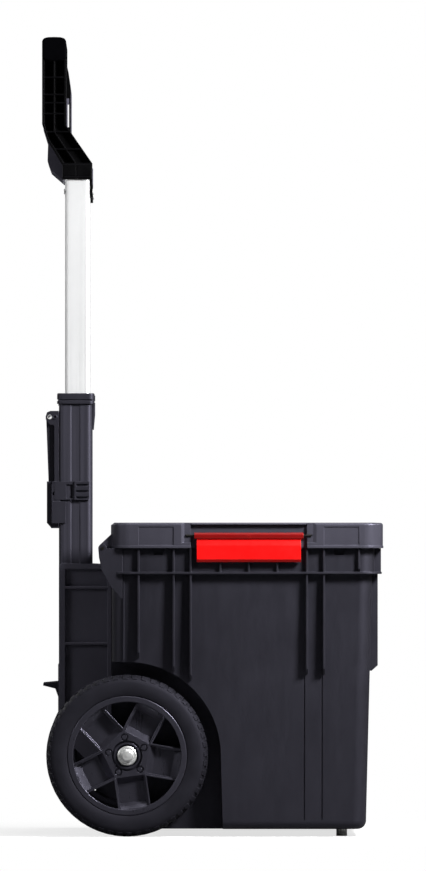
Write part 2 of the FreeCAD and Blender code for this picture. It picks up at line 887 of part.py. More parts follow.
def make_wheels():
    """Each wheel's tyre and rim, and the pair of flanged bushes that it turns on."""
    half = S.tyre_width / 2
    inner = S.rim_radius + S.gap / 4
    tyre = ring(
        [
            (inner, -half + 3),
            (inner + 12, -half),
            (S.wheel_radius - 6, -half + 1),
            (S.wheel_radius - 1, -half + 6),
            (S.wheel_radius, -half + 13),
            (S.wheel_radius, half - 13),
            (S.wheel_radius - 1, half - 6),
            (S.wheel_radius - 6, half - 1),
            (inner + 12, half),
            (inner, half - 3),
        ]
    )
    finish_pair(on_axle(tyre), "tyre")
    finish(make_rim(20), "rim_left")
    finish(mirror(make_rim(-8)), "rim_right")

    bore, seat = S.axle_radius + 0.05, S.hub_bore - 0.05
    flange_edge = S.hub_bore + 2
    near_bush = ring([(bore, 0), (flange_edge, 0), (flange_edge, 1.5), (seat, 1.5), (seat, 13), (bore, 13)])
    bind(near_bush, "Placement.Base.y", -23.6)
    far_bush = ring(
        [(bore, 0), (seat, 0), (seat, 11), (flange_edge, 11), (flange_edge, 12.2), (bore, 12.2)]
    )
    bind(far_bush, "Placement.Base.y", FACE - 13.8)
    finish_pair(on_axle(fuse(near_bush, far_bush)), "wheel_bushes")


def make_axle():
    end = S.wheel_face - 3.5
    finish(rod("y", (S.wheel_x, S.wheel_radius), S.axle_radius, (-end, end)), "axle")
    cap = ring(
        [
            (S.axle_radius + 0.1, 0),
            (12.4, 0),
            (12.4, 1.2),
            (11.4, 1.9),
            (8.7, 1.9),
            (8.4, 6),
            (6, 8.4),
            (0, 9.2),
            (0, 7.4),
            (S.axle_radius + 0.1, 7.4),
        ]
    )
    bind(cap, "Placement.Base.x", S.wheel_x)
    bind(cap, "Placement.Base.y", S.wheel_face - 9.4)
    bind(cap, "Placement.Base.z", S.wheel_radius)
    finish_pair(cap, "axle_cap")
    centre = (S.wheel_x, S.wheel_radius)
    outside = rod("y", centre, S.axle_radius + 3, (S.arch_inner - 3.5, S.arch_inner + 4.8))
    inside = rod("y", centre, S.axle_radius + 0.1, (S.arch_inner - 10, S.arch_inner + 10))
    finish_pair(cut(outside, inside), "axle_spacer")


# ---------------------------------------------------------------- rear frame


def column():
    """The left upright: a channel round the outer tube, with ribbed panels sunk into its outer side."""
    near, far = from_tube(-S.frame_half), from_tube(S.frame_half)
    front = S.bin_rear - 0.5
    beam_front = S.recess_front - 2
    points = [
        (S.outer_rear, S.frame_top - 3),
        (S.outer_rear + 4, S.frame_top),
        (front, S.frame_top - 3),
        (front, S.recess_top - 2),
        (beam_front, S.recess_top - 2),
        (beam_front, S.wheel_radius - 21),
        (S.outer_rear + 50, S.wheel_radius - 21),
        (S.outer_rear, S.outer_low - 7),
    ]
    body = prism("XZ", points, (near, far))
    half = S.outer_half + S.gap
    channel = box(
        (S.outer_rear - 5, S.outer_front + S.gap),
        (from_tube(-half), from_tube(half)),
        (S.outer_low - S.gap, S.frame_top + 5),
    )
    panels = [
        box((S.outer_rear + 8, front - 5), (far - 6, far + 5), heights)
        for heights in ((324.5, S.frame_top - 8), (251.5, 321.5), (S.outer_low + 8, 248.5))
    ]
    return cut(body, channel, *panels)


def make_rear_frame():
    """The frame behind the bin: two ribbed uprights for the tubes, a web and the axle housing."""
    near = from_tube(-S.frame_half)
    front = S.bin_rear - 0.5
    web = box((front - 9, front), (-near - 1, near + 1), (S.recess_top + 6, S.frame_top - 12))
    web_ribs = [
        box((front - 30, front - 8), (-near - 1, near + 1), (height - 1.5, height + 1.5))
        for height in (141, 245, 341)
    ]
    web_ribs += [
        box((front - 26, front - 8), (place - 1.5, place + 1.5), (139.0, 342.0)) for place in (-52.0, 52.0)
    ]
    beam_side = S.arch_inner - 4
    beam = bar(
        1,
        (S.wheel_x - 17, S.recess_front - 2),
        (-beam_side, beam_side),
        (S.wheel_radius - 17, S.wheel_radius + 17),
        5,
    )
    axle_hole = rod("y", (S.wheel_x, S.wheel_radius), S.axle_radius + 0.05, (-300, 300))
    lift_points = [(front - 9, 142), (front, 142), (front, 118), (front - 6, 118)]
    lift = prism("XZ", lift_points, (-near - 1, near + 1))
    screw_holes = [rod("x", place, 3.2, (front - 40, front + 5)) for place in FRAME_SCREWS]
    whole = fuse(both(column()), web, *web_ribs, beam, lift)
    finish(cut(whole, axle_hole, *screw_holes), "rear_frame")


def make_screws():
    """Six bolts through the frame's web and the bin's back, each with a nut and washer inside the bin."""
    front = S.bin_rear - 0.5
    bolts, nuts = [], []
    for place in FRAME_SCREWS:
        bolts.append(rod("x", place, 3, (front - 10, S.bin_rear + 11)))
        bolts.append(rod("x", place, 6, (front - 13.2, front - 9 - S.gap)))
        washer = rod("x", place, 8, (S.bin_rear + S.wall + S.gap, S.bin_rear + S.wall + 1.6))
        nut = rod("x", place, 5.4, (S.bin_rear + S.wall + 1.5, S.bin_rear + S.wall + 6))
        nuts.append(cut(fuse(washer, nut), rod("x", place, 3.1, (S.bin_rear, S.bin_rear + 20))))
    finish(fuse(*bolts), "frame_bolts")
    finish(fuse(*nuts), "frame_nuts")


def make_foot_step():
    """The lip for tilting the box back with a foot, on a plate between the uprights."""
    side = 95
    back = S.outer_rear - S.gap
    lip_points = [
        (back, S.step_z + 1.5),
        (S.step_tip, S.step_z - 0.5),
        (S.step_tip, S.step_z - 3),
        (back - 5, S.step_z - 7),
        (back, S.step_z - 21),
    ]
    lip = prism("XZ", lip_points, (-side, side))
    near = from_tube(-S.frame_half) - S.gap
    plate = box((back - 1, back + 5), (-near, near), (S.step_z - 40, S.step_z + 25))
    finish(fuse(lip, plate), "foot_step")


# ---------------------------------------------------------------- tubes


def make_outer_tubes():
    """The fixed tubes, with a groove down each side and holes for the lock pin."""
    half = S.outer_half
    across = (from_tube(-half), from_tube(half))
    outside = bar(2, (S.outer_rear, S.outer_front), across, (S.outer_low, S.outer_top), 6)
    hollow = bar(
        2,
        (S.outer_rear + S.outer_wall, S.outer_front - S.outer_wall),
        (from_tube(-half + S.outer_wall), from_tube(half - S.outer_wall)),
        (S.outer_low - 5, S.outer_top + 5),
        3.5,
    )
    middle = (S.outer_rear + S.outer_front) / 2
    flutes = []
    for sign in (-1, 1):
        edge = from_tube(sign * half)
        points = [
            (middle - 8, edge + sign),
            (middle - 5, edge - sign * 1.1),
            (middle + 5, edge - sign * 1.1),
            (middle + 8, edge + sign),
        ]
        flutes.append(prism("XY", points, (S.outer_low - 5, S.outer_top + 5)))
    pin_x = (S.inner_rear + S.inner_front) / 2
    heights = (S.lock_z, S.lock_z - 250)
    pin_holes = [rod("y", (pin_x, height), 5.5, (from_tube(5), from_tube(20))) for height in heights]
    finish_pair(cut(outside, hollow, *flutes, *pin_holes), "outer_tube")


def make_inner_tubes():
    """The sliding tubes of the pull handle."""
    half = S.inner_half
    top = S.socket_top - 2
    across = (from_tube(-half), from_tube(half))
    outside = bar(2, (S.inner_rear, S.inner_front), across, (S.inner_low, top), 4.5)
    hollow = bar(
        2,
        (S.inner_rear + S.inner_wall, S.inner_front - S.inner_wall),
        (from_tube(-half + S.inner_wall), from_tube(half - S.inner_wall)),
        (S.inner_low - 5, top + 5),
        3,
    )
    pin_x = (S.inner_rear + S.inner_front) / 2
    pin_hole = rod("y", (pin_x, S.lock_z), 5.4, (from_tube(5), from_tube(20)))
    rivet_hole = rod("x", (from_tube(3.5), S.socket_low - 16), 2.1, (S.inner_rear - 5, S.inner_front + 5))
    finish_pair(cut(outside, hollow, pin_hole, rivet_hole), "inner_tube")


def make_collars():
    """The cap and guide bush in the mouth of each outer tube, with a tab down its front."""
    half = S.outer_half + 3.5
    lengthwise, across = (S.outer_rear - 2.4, S.outer_front + 3.4), (from_tube(-half), from_tube(half))
    cap = bar(2, lengthwise, across, (S.outer_top + S.gap, S.collar_top), 7)
    cap = soften(cap, "Fillet", 1.5, at_height(S.collar_top))
    groove = cut(
        box((-220, -140), (from_tube(-25), from_tube(25)), (S.outer_top + 4, S.outer_top + 6)),
        box(
            (S.outer_rear - 1.2, S.outer_front + 2),
            (from_tube(-17), from_tube(17)),
            (S.outer_top, S.outer_top + 8),
        ),
    )
    clear = S.outer_wall + 0.2
    bush = bar(
        2,
        (S.outer_rear + clear, S.outer_front - clear),
        (from_tube(-S.outer_half + clear), from_tube(S.outer_half - clear)),
        (S.outer_top - 27, S.outer_top + 2),
        3,
    )
    tab = prism(
        "XZ",
        [
            (S.outer_front + S.gap, S.outer_top + 1),
            (S.outer_front + S.gap, S.outer_top - 32),
            (S.outer_front + 1.6, S.outer_top - 32),
            (S.outer_front + 3.4, S.outer_top - 12),
            (S.outer_front + 3.4, S.outer_top + 1),
        ],
        (from_tube(-9), from_tube(9)),
    )
    mouth = bar(
        2,
        (S.inner_rear - 0.25, S.inner_front + 0.25),
        (from_tube(-S.inner_half - 0.25), from_tube(S.inner_half + 0.25)),
        (S.outer_top - 40, S.collar_top + 5),
        4.5,
    )
    finish_pair(cut(fuse(cap, bush, tab), mouth, groove), "tube_collar")


def clamp_ears():
    """The two ears that the carry handle's pin goes through, the outer one with a small boss."""
    back = S.outer_rear - S.gap
    points = [
        (S.carry_x - 5.2, S.carry_z + 1),
        (S.carry_x - 3.6, S.carry_z + 6),
        (S.carry_x + 1, S.carry_z + 8),
        (back, S.carry_z + 8),
        (back, S.carry_z - 10),
        (S.carry_x, S.carry_z - 10),
        (S.carry_x - 5.2, S.carry_z - 3),
    ]
    spans = ((from_tube(7.2), from_tube(12)), (from_tube(-12), from_tube(-7.2)))
    boss_centre = (S.carry_x + 7, S.carry_z)
    boss = rod("y", boss_centre, 3, (from_tube(11), from_tube(13.4)))
    dimple = rod("y", boss_centre, 1.5, (from_tube(10), from_tube(15)))
    return cut(fuse(boss, *[prism("XZ", points, span) for span in spans]), dimple)


def clamp_cheeks(half, low, high):
    """The plates outside the handle's foot: a thick one below, and a thin one above with a socket in it."""
    rear, back = S.outer_rear - 9, S.outer_rear - S.gap
    heights = (low - 30.3, low - 2)
    thick = box((rear, back + 9), (from_tube(half), from_tube(half + 3.4)), heights)
    root = box((rear, back), (from_tube(10), from_tube(half + 1)), heights)
    thin = box((rear, back + 2), (from_tube(half - 4), from_tube(half + 2)), (low - 3, high))
    socket_centre = (S.outer_rear - 5.2, S.lock_z - 4.2)
    socket = rod("y", socket_centre, 3.2, (from_tube(half - 3.5), from_tube(half + 5)))
    return cut(fuse(thick, root, thin), socket)


def make_clamps():
    """The bracket on each outer tube: a band with finger ribs, a rail, the handle's ears and its rest."""
    half = S.outer_half + S.gap
    rail_face = S.outer_rear - 6
    back = S.outer_rear - S.gap
    low, high = S.lock_z - 12, S.lock_z + 12
    front = S.outer_front - 3.5
    band = box((rail_face, front), (from_tube(-half - 2.4), from_tube(half + 2.4)), (low, high))
    grip_block = box((front - 19.5, front), (from_tube(half), from_tube(half + 4)), (low, high))
    grooves = []
    for middle in (S.lock_z - 9.4, S.lock_z - 1.2, S.lock_z + 7):
        depths = (from_tube(half + 1.2), from_tube(half + 9))
        grooves.append(box((front - 17, front + 5), depths, (middle - 1.7, middle + 1.7)))
    window = box((front - 30, front - 21), (from_tube(half - 1), from_tube(half + 5)), (low + 2, high - 4))
    tube_room = box((back, S.outer_front + 5), (from_tube(-half), from_tube(half)), (low - 5, high + 5))
    rail = box((rail_face, back), (from_tube(-12), from_tube(12)), (low - 30.3, S.carry_z - 8))
    rest = box((rail_face - 3, back), (from_tube(-12), from_tube(12)), (low - 30.3, low - 2))
    pin_hole = rod("y", (S.carry_x, S.carry_z), 3.05, (from_tube(-20), from_tube(20)))
    body = cut(fuse(band, grip_block), window, *grooves)
    clamp = fuse(body, rail, rest, clamp_cheeks(half, low, high), clamp_ears())
    finish_pair(cut(clamp, tube_room, pin_hole), "tube_clamp")
    span = (from_tube(-13), from_tube(13))
    hollow_pin = cut(rod("y", (S.carry_x, S.carry_z), 3, span), rod("y", (S.carry_x, S.carry_z), 2.3, span))
    finish_pair(hollow_pin, "carry_pin")


def make_carry_handle():
    """A bail that hangs behind the tubes from the clamps' ears, with a flat grip along its foot."""
    arm_face = S.outer_rear - 6.7
    inside = (from_tube(-6.6), from_tube(6.6))
    eye = rod("y", (S.carry_x, S.carry_z), 5, inside)
    arm_points = [
        (S.carry_x - 4.6, S.carry_z - 2),
        (S.carry_x - 1.4, S.lock_z + 8),
        (arm_face, S.lock_z + 8),
        (arm_face, S.carry_z - 2),
    ]
    slim = box(
        (S.carry_x - 0.2, arm_face + 1), (from_tube(-3.6), from_tube(3.6)), (S.lock_z + 20, S.carry_z - 16)
    )
    side_arm = cut(fuse(eye, prism("XZ", arm_points, inside)), slim)
    hole = rod("y", (S.carry_x, S.carry_z), 3.06, (from_tube(-20), from_tube(20)))
    rear, front = S.carry_x - 3.7, S.outer_rear - 9.5
    top = S.lock_z + 12
    grip_points = [
        (rear, top),
        (rear, S.carry_low + 6),
        (rear + 6, S.carry_low - 1),
        (S.outer_rear - 1, S.carry_low - 1),
        (S.outer_rear - 1, S.carry_low + 5.5),
        (front, S.carry_low + 5.5),
        (front, top),
    ]
    side = from_tube(12)
    grip = prism("XZ", grip_points, (-side, side))
    relief = box((S.outer_rear - 11, S.outer_rear), (-140, 140), (S.carry_low + 2, S.lock_z + 8))
    pad_low, pad_high = S.carry_low + 12, S.lock_z + 6
    gap = S.gap
    pad_room = box((rear - 5, rear + 2 + gap), (-105 - gap, 105 + gap), (pad_low - gap, pad_high + gap))
    finish(cut(fuse(grip, both(side_arm)), relief, pad_room, both(hole)), "carry_handle")
    finish(bar(1, (rear - 0.4, rear + 2), (-105, 105), (pad_low, pad_high), 1), "carry_grip")


def make_glides():
    """The foot of each inner tube: a glide that runs in the outer tube, and the housing of the lock pin."""
    clear = S.outer_wall + 0.3
    foot = bar(
        2,
        (S.outer_rear + clear, S.outer_front - clear),
        (from_tube(-S.outer_half + clear), from_tube(S.outer_half - clear)),
        (S.inner_low - 11, S.inner_low - S.gap),
        3,
    )
    inside = S.inner_wall + 0.2
    plug = bar(
        2,
        (S.inner_rear + inside, S.inner_front - inside),
        (from_tube(-S.inner_half + inside), from_tube(S.inner_half - inside)),
        (S.inner_low - 2, S.lock_z + 26),
        2.6,
    )
    pin_x = (S.inner_rear + S.inner_front) / 2
    bore = rod("y", (pin_x, S.lock_z), 5.1, (from_tube(-20), from_tube(20)))
    slot = box((pin_x - 2.2, pin_x + 2.2), (from_tube(-8), from_tube(6.4)), (S.lock_z - 20, S.lock_z + 30))
    finish_pair(cut(fuse(foot, plug), bore, slot), "tube_glide")


CAM_SLOPE = 0.5


def cam_points(rest_y, thickness, low, high):
    """A bar in the YZ plane that leans outwards as it rises, crossing rest_y at the lock's height."""
    return [
        (rest_y + CAM_SLOPE * low - thickness / 2, S.lock_z + low),
        (rest_y + CAM_SLOPE * low + thickness / 2, S.lock_z + low),
        (rest_y + CAM_SLOPE * high + thickness / 2, S.lock_z + high),
        (rest_y + CAM_SLOPE * high - thickness / 2, S.lock_z + high),
    ]


def make_lock():
    """Lock pins, drawn in by a leaning cam bar at the foot of each pull strip."""
    pin_x = (S.inner_rear + S.inner_front) / 2
    cam_y = from_tube(0)
    pin = rod("y", (pin_x, S.lock_z), 5, (from_tube(-3.4), from_tube(S.outer_half - S.outer_wall - 0.3)))
    slot = prism("YZ", cam_points(cam_y, 3.6, -12, 12), (pin_x - 2, pin_x + 2))
    finish_pair(cut(pin, slot), "lock_pin")

    cam = prism("YZ", cam_points(cam_y, 3, -13, 7), (pin_x - 1.6, pin_x + 1.6))
    strip_low, strip_high = from_tube(-5), from_tube(-2)
    top_y = cam_y + 3.5
    jog = prism(
        "YZ",
        [
            (top_y - 1.5, S.lock_z + 7),
            (top_y + 1.5, S.lock_z + 7),
            (top_y + 1.5, S.lock_z + 30),
            (strip_high, S.lock_z + 46),
            (strip_high, S.lock_z + 62),
            (strip_low, S.lock_z + 62),
            (strip_low, S.lock_z + 46),
            (top_y - 1.5, S.lock_z + 30),
        ],
        (pin_x - 1.6, pin_x + 1.6),
    )
    top_x = (S.arm_rear + S.arm_front) / 2
    bend_low, bend_high = S.socket_top + 1, S.socket_top + 46
    half = 1.6
    strip = prism(
        "XZ",
        [
            (pin_x - half, S.lock_z + 60),
            (pin_x + half, S.lock_z + 60),
            (pin_x + half, bend_low),
            (top_x + half, bend_high),
            (top_x + half, S.grip_low + 9),
            (top_x - half, S.grip_low + 9),
            (top_x - half, bend_high),
            (pin_x - half, bend_low),
        ],
        (strip_low, strip_high),
    )
    finish_pair(fuse(cam, jog, strip), "pull_strip")

    end = strip_low - S.gap
    yoke = box((top_x - 5, top_x + 5), (-end, end), (S.grip_low + 8.5, S.grip_low + 12))
    heights = (S.grip_low + 9 + S.gap, S.grip_low + 12)
    ends = box((top_x - 5, top_x + 5), (end - 1, strip_high + 0.2), heights)
    finger = bar(0, (top_x - 6, top_x + 6), (-42, 42), (S.grip_low - 8, S.grip_low + 9), 3)
    finish(fuse(yoke, both(ends), finger), "release_trigger")

    coils = []
    for place in (-70, 70):
        helix = DOC.addObject("Part::Helix", "helix")
        helix.Pitch = 3.3
        helix.Height = 9.0
        helix.Radius = 3.4
        bind(helix, "Placement.Base.x", top_x)
        bind(helix, "Placement.Base.y", place)
        bind(helix, "Placement.Base.z", S.grip_low + 12.9)
        wire = DOC.addObject("Part::Circle", "wire")
        wire.Radius = 0.45
        wire.Placement.Rotation = FreeCAD.Rotation(FreeCAD.Vector(1, 0, 0), 90)
        bind(wire, "Placement.Base.x", top_x + 3.4)
        bind(wire, "Placement.Base.y", place)
        bind(wire, "Placement.Base.z", S.grip_low + 12.9)
        coil = DOC.addObject("Part::Sweep", "coil")
        coil.Sections = [wire]
        coil.Spine = (helix, [])
        coil.Solid = True
        coil.Frenet = True
        coils.append(coil)
    finish(fuse(*coils), "trigger_springs")


# ---------------------------------------------------------------- pull handle


def arm_outline(inset):
    """The arm seen from the side: upright above, leaning forward to the socket below."""
    bend = S.socket_top + 51.4 + inset * 0.3
    foot = S.socket_top + inset
    top = S.grip_low + 4 - inset
    rear_foot = S.inner_rear - 3.4 + inset * 0.8
    front_foot = S.inner_front + 3.6 - inset
    return [
        (S.arm_rear + inset, top),
        (S.arm_rear + inset, bend + 2),
        (S.arm_rear + 6.3 + inset, bend - 18.5),
        (rear_foot, foot),
        (front_foot, foot),
        (front_foot, foot + 2),
        (S.arm_front - inset, bend),
        (S.arm_front - inset, top),
    ]


def finger_guard():
    """The thin fin down the front of the left arm, with a slot between it and the arm at the bottom."""
    bend = S.socket_top + 51.4
    points = [
        (S.arm_front - 2, S.grip_low - 3),
        (S.arm_front + 0.5, S.grip_low - 3),
        (S.arm_front + 3.2, S.grip_low - 15),
        (S.arm_front + 5.9, S.grip_low - 35),
        (S.arm_front + 5.9, bend - 8),
        (S.arm_front - 2, bend - 8),
    ]
    lengthwise = (S.arm_front + 0.5, S.arm_front + 3.6)
    slot = box(lengthwise, (S.arm_inner - 1, S.arm_inner + 5), (bend - 1.6, bend + 36))
    return cut(prism("XZ", points, (S.arm_inner, S.arm_inner + 3)), slot)


def arm_ribs():
    """The web of ribs in the outer side of the arm: cross ribs, and a spine that follows the arm."""
    depth = (S.arm_outer - 9.5, S.arm_outer - 0.4)
    everywhere = (S.arm_rear, S.inner_front + 5)
    half = 0.9
    cross_ribs = [
        box(everywhere, depth, (S.socket_top + height - half, S.socket_top + height + half))
        for height in (20.8, 43.4, 67, 81.1, 91.9, 114.4)
    ]
    spine_x = (S.arm_rear + S.arm_front) / 2
    foot_x = (S.inner_rear + S.inner_front) / 2 - 1
    knee = S.socket_top + 43.4
    spine = box((spine_x - half, spine_x + half), depth, (knee, S.grip_low))
    lean_points = [
        (spine_x - half, knee),
        (foot_x - half, S.socket_top),
        (foot_x + half, S.socket_top),
        (spine_x + half, knee),
    ]
    return [*cross_ribs, spine, prism("XZ", lean_points, depth)]


def arm_side():
    """The left arm with its ribs, and the socket and riveted tab that hold the inner tube."""
    arm = prism("XZ", arm_outline(0), (S.arm_inner, S.arm_outer))
    outer_pocket = prism("XZ", arm_outline(2.6), (S.arm_outer - 9, S.arm_outer + 5))
    inner_pocket = prism("XZ", arm_outline(2.6), (S.arm_inner - 5, S.arm_inner + 14))
    ribs = common(fuse(*arm_ribs()), prism("XZ", arm_outline(1), (S.arm_inner, S.arm_outer)))
    socket = bar(
        2,
        (S.inner_rear - 3.4, S.inner_front + 3.6),
        (S.arm_inner - 1.5, S.arm_outer + 1.5),
        (S.socket_low, S.socket_top + 0.5),
        2,
    )
    middle = (S.inner_rear + S.inner_front) / 2
    skin = (S.arm_outer + 0.7, S.arm_outer + 5)
    seam = box((middle - 1.6, middle - 0.4), skin, (S.socket_low - 1, S.socket_top + 1))
    lip = box((S.inner_rear - 5, S.inner_front + 5), skin, (S.socket_low + 3.6, S.socket_low + 4.8))
    tab = box(
        (S.inner_front + S.gap, S.inner_front + 3.6),
        (from_tube(-7), from_tube(7)),
        (S.socket_low - 24, S.socket_low + 1),
    )
    tube_room = bar(
        2,
        (S.inner_rear - S.gap, S.inner_front + S.gap),
        (from_tube(-S.inner_half - S.gap), from_tube(S.inner_half + S.gap)),
        (S.socket_low - 5, S.socket_top - 1.8),
        4.5,
    )
    across = (from_tube(-9), from_tube(-0.6))
    strip_way = box((middle - 5, middle + 5), across, (S.socket_low, S.socket_top + 8))
    rivet_hole = rod("x", (from_tube(3.5), S.socket_low - 16), 2.1, (S.inner_rear - 5, S.inner_front + 10))
    shell = cut(fuse(arm, finger_guard()), outer_pocket, inner_pocket)
    return fuse(shell, ribs, cut(fuse(socket, tab), seam, lip)), fuse(tube_room, strip_way, rivet_hole)


def arm_bridge():
    """The hollow bridge between the arms, above the sockets."""
    rear_skin = S.inner_rear - 4
    bridge_points = [
        (S.arm_rear + 8, S.socket_top + 38),
        (S.arm_rear + 7, S.socket_top + 6),
        (S.arm_rear + 11, S.socket_top - 5),
        (rear_skin, S.socket_top - 18),
        (rear_skin + 36, S.socket_top + 3),
        (S.arm_front + 3, S.socket_top + 46),
    ]
    room_points = [
        (S.arm_rear + 11, S.socket_top + 33),
        (S.arm_rear + 10, S.socket_top + 7),
        (S.arm_rear + 13.5, S.socket_top - 2),
        (rear_skin + 0.5, S.socket_top - 13.5),
        (rear_skin + 30, S.socket_top + 3.5),
        (S.arm_front + 1, S.socket_top + 41),
    ]
    inner = S.arm_inner + 1
    room_half = S.arm_inner - 3
    room = prism("XZ", room_points, (-room_half, room_half))
    return cut(prism("XZ", bridge_points, (-inner, inner)), room)


def make_pull_handle():
    """The handle's moulding with its arms, bridge and grip core, the arm covers and the sleeve."""
    side, side_room = arm_side()
    core_rear, core_front = S.arm_rear + 4, S.arm_front - 4
    heights = (S.grip_low + 3, S.grip_top - 5.5)
    core = bar(1, (core_rear, core_front), (-S.arm_outer, S.arm_outer), heights, 5)
    core_room = box(
        (core_rear + 3.5, core_front - 3.5),
        (-S.arm_inner - 14, S.arm_inner + 14),
        (S.grip_low + 6.5, S.grip_top - 9),
    )
    trigger_way = box((core_rear + 5, core_front - 5), (-43, 43), (S.grip_low - 10, S.grip_low + 12))
    strip_across = (S.arm_inner + 2.6, S.arm_inner + 14)
    strip_top = box((core_rear + 5, core_front - 5), strip_across, (S.grip_low - 4, S.grip_low + 12))
    frame = fuse(both(side), core, arm_bridge())
    finish(cut(frame, core_room, trigger_way, both(side_room, strip_top)), "handle_frame")

    cover = common(
        prism("XZ", arm_outline(2.8), (S.arm_inner + 1.2, S.arm_inner + 3)),
        box((-260, -100), (140, 180), (S.socket_top + 5, S.grip_low - 1)),
    )
    finish_pair(cover, "arm_cover")

    sleeve_end = S.arm_outer + 3
    centre_x = (S.arm_rear + S.arm_front) / 2
    sleeve_points = [
        (S.arm_rear, S.grip_low + 3.6),
        (centre_x - 8, S.grip_low + 0.9),
        (centre_x, S.grip_low),
        (centre_x + 8, S.grip_low + 0.9),
        (S.arm_front, S.grip_low + 3.6),
        (S.arm_front, S.grip_top - 2.2),
        (centre_x + 8, S.grip_top - 0.3),
        (centre_x, S.grip_top),
        (centre_x - 8, S.grip_top - 0.3),
        (S.arm_rear, S.grip_top - 2),
    ]
    sleeve = prism("XZ", sleeve_points, (-sleeve_end, sleeve_end))
    high, middle_x = value_of(S.grip_top) - 5, value_of(centre_x)
    end_place = value_of(sleeve_end)
    at_shoulders = lambda edge: edge.Vertexes[0].Z > high and abs(edge.Vertexes[0].X - middle_x) > 12
    soften(sleeve, "Fillet", 6, lambda edge: along(1)(edge) and at_shoulders(edge))
    at_ends = lambda edge: all(abs(abs(v.Y) - end_place) < 1e-6 for v in edge.Vertexes)
    sleeve = soften(sleeve, "Fillet", 2, at_ends)
    gap = S.gap
    core_space = bar(
        1,
        (core_rear - gap, core_front + gap),
        (-S.arm_outer - gap, S.arm_outer + gap),
        (S.grip_low + 3 - gap, S.grip_top - 5.5 + gap),
        5,
    )
    arm_space = box(
        (S.arm_rear - 5, S.arm_front + 5),
        (S.arm_inner - gap, S.arm_outer + gap),
        (S.grip_low - 5, S.grip_low + 4 + gap),
    )
    finish(cut(sleeve, core_space, trigger_way, both(arm_space)), "grip_sleeve")


def make_rivets():
    """One rivet through each socket tab and inner tube."""
    centre = (from_tube(3.5), S.socket_low - 16)
    shank = rod("x", centre, 2, (S.inner_rear - 1, S.inner_front + 4))
    rear_head = rod("x", centre, 3.6, (S.inner_rear - 1.4, S.inner_rear - S.gap))
    front_head = rod("x", centre, 3.6, (S.inner_front + 3.6 + S.gap, S.inner_front + 4.8))
    finish_pair(fuse(shank, rear_head, front_head), "handle_rivet")


def make_all():
    """Every sub-part, from the bin outwards."""
    make_bin()
    make_feet()
    make_hinge_pins()
    make_lid()
    make_seal()
    make_latches()
    make_wheels()
    make_axle()
    make_rear_frame()
    make_screws()
    make_foot_step()
    make_outer_tubes()
    make_inner_tubes()
    make_collars()
    make_clamps()
    make_carry_handle()
    make_glides()
    make_lock()
    make_pull_handle()
    make_rivets()


def check_and_export():
    """Stops at any failed object or invalid solid, and otherwise writes one file per sub-part."""
    DOC.recompute()
    failed = [item.Label for item in DOC.Objects if {"Invalid", "Error"} & set(item.State)]
    if failed:
        raise RuntimeError(f"these objects failed: {failed}")
    for item in FINISHED:
        if item.Shape.isNull() or not item.Shape.isValid() or not item.Shape.Solids:
            raise RuntimeError(f"{item.Label} has no valid solid")
    os.makedirs("parts", exist_ok=True)
    for item in FINISHED:
        item.Shape.exportStep(f"parts/{item.Label}.step")


make_all()
check_and_export()
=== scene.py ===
"""Looks of the rolling tool box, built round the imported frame. Metres; +X front, +Y left, +Z up."""

import json
import math

import bmesh
import bpy
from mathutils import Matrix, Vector


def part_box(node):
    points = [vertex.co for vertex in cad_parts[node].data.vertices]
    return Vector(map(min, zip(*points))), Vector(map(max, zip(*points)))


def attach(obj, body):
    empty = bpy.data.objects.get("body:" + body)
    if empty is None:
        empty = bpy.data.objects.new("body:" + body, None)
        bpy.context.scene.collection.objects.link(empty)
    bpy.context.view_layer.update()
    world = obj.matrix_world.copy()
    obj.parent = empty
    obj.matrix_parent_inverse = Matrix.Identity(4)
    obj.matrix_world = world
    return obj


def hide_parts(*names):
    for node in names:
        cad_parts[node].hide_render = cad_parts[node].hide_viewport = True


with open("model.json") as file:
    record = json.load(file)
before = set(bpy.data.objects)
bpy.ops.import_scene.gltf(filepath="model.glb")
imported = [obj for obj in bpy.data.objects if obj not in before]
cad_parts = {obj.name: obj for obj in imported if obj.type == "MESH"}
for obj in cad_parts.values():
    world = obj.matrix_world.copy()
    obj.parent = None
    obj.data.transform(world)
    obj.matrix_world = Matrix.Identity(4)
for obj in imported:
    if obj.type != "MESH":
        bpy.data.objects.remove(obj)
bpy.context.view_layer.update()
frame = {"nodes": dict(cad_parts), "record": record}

# tints that multiply a grey tone
NEUTRAL = (1.0, 1.0, 1.0)
COOL = (0.97, 0.94, 1.24)
WARM = (1.0, 0.99, 0.95)
# colour of the sheen on dark plastic and rubber
COOL_SHINE = (0.78, 0.76, 1.0, 1.0)

# red plastic, and the darker red that paints the shade on the latch's barrel
LIGHT_RED = (0.72, 0.005, 0.005, 1.0)
MID_RED = (0.62, 0.003, 0.003, 1.0)
BARREL_SHADE_RED = (0.17, 0.001, 0.001, 1.0)
WORN_RED = (1.0, 0.05, 0.03, 1.0)

# distance of the handle arms' inner faces from the middle plane
ARM_INNER_FACE = 0.1522
# height of the barrel along the latch's hinge
BARREL_HEIGHT = 0.0079


# ---------------------------------------------------------------- material graphs
#
# Noise scales are in repeats per metre. Edge radii and bump distances are in metres. Tones are linear.


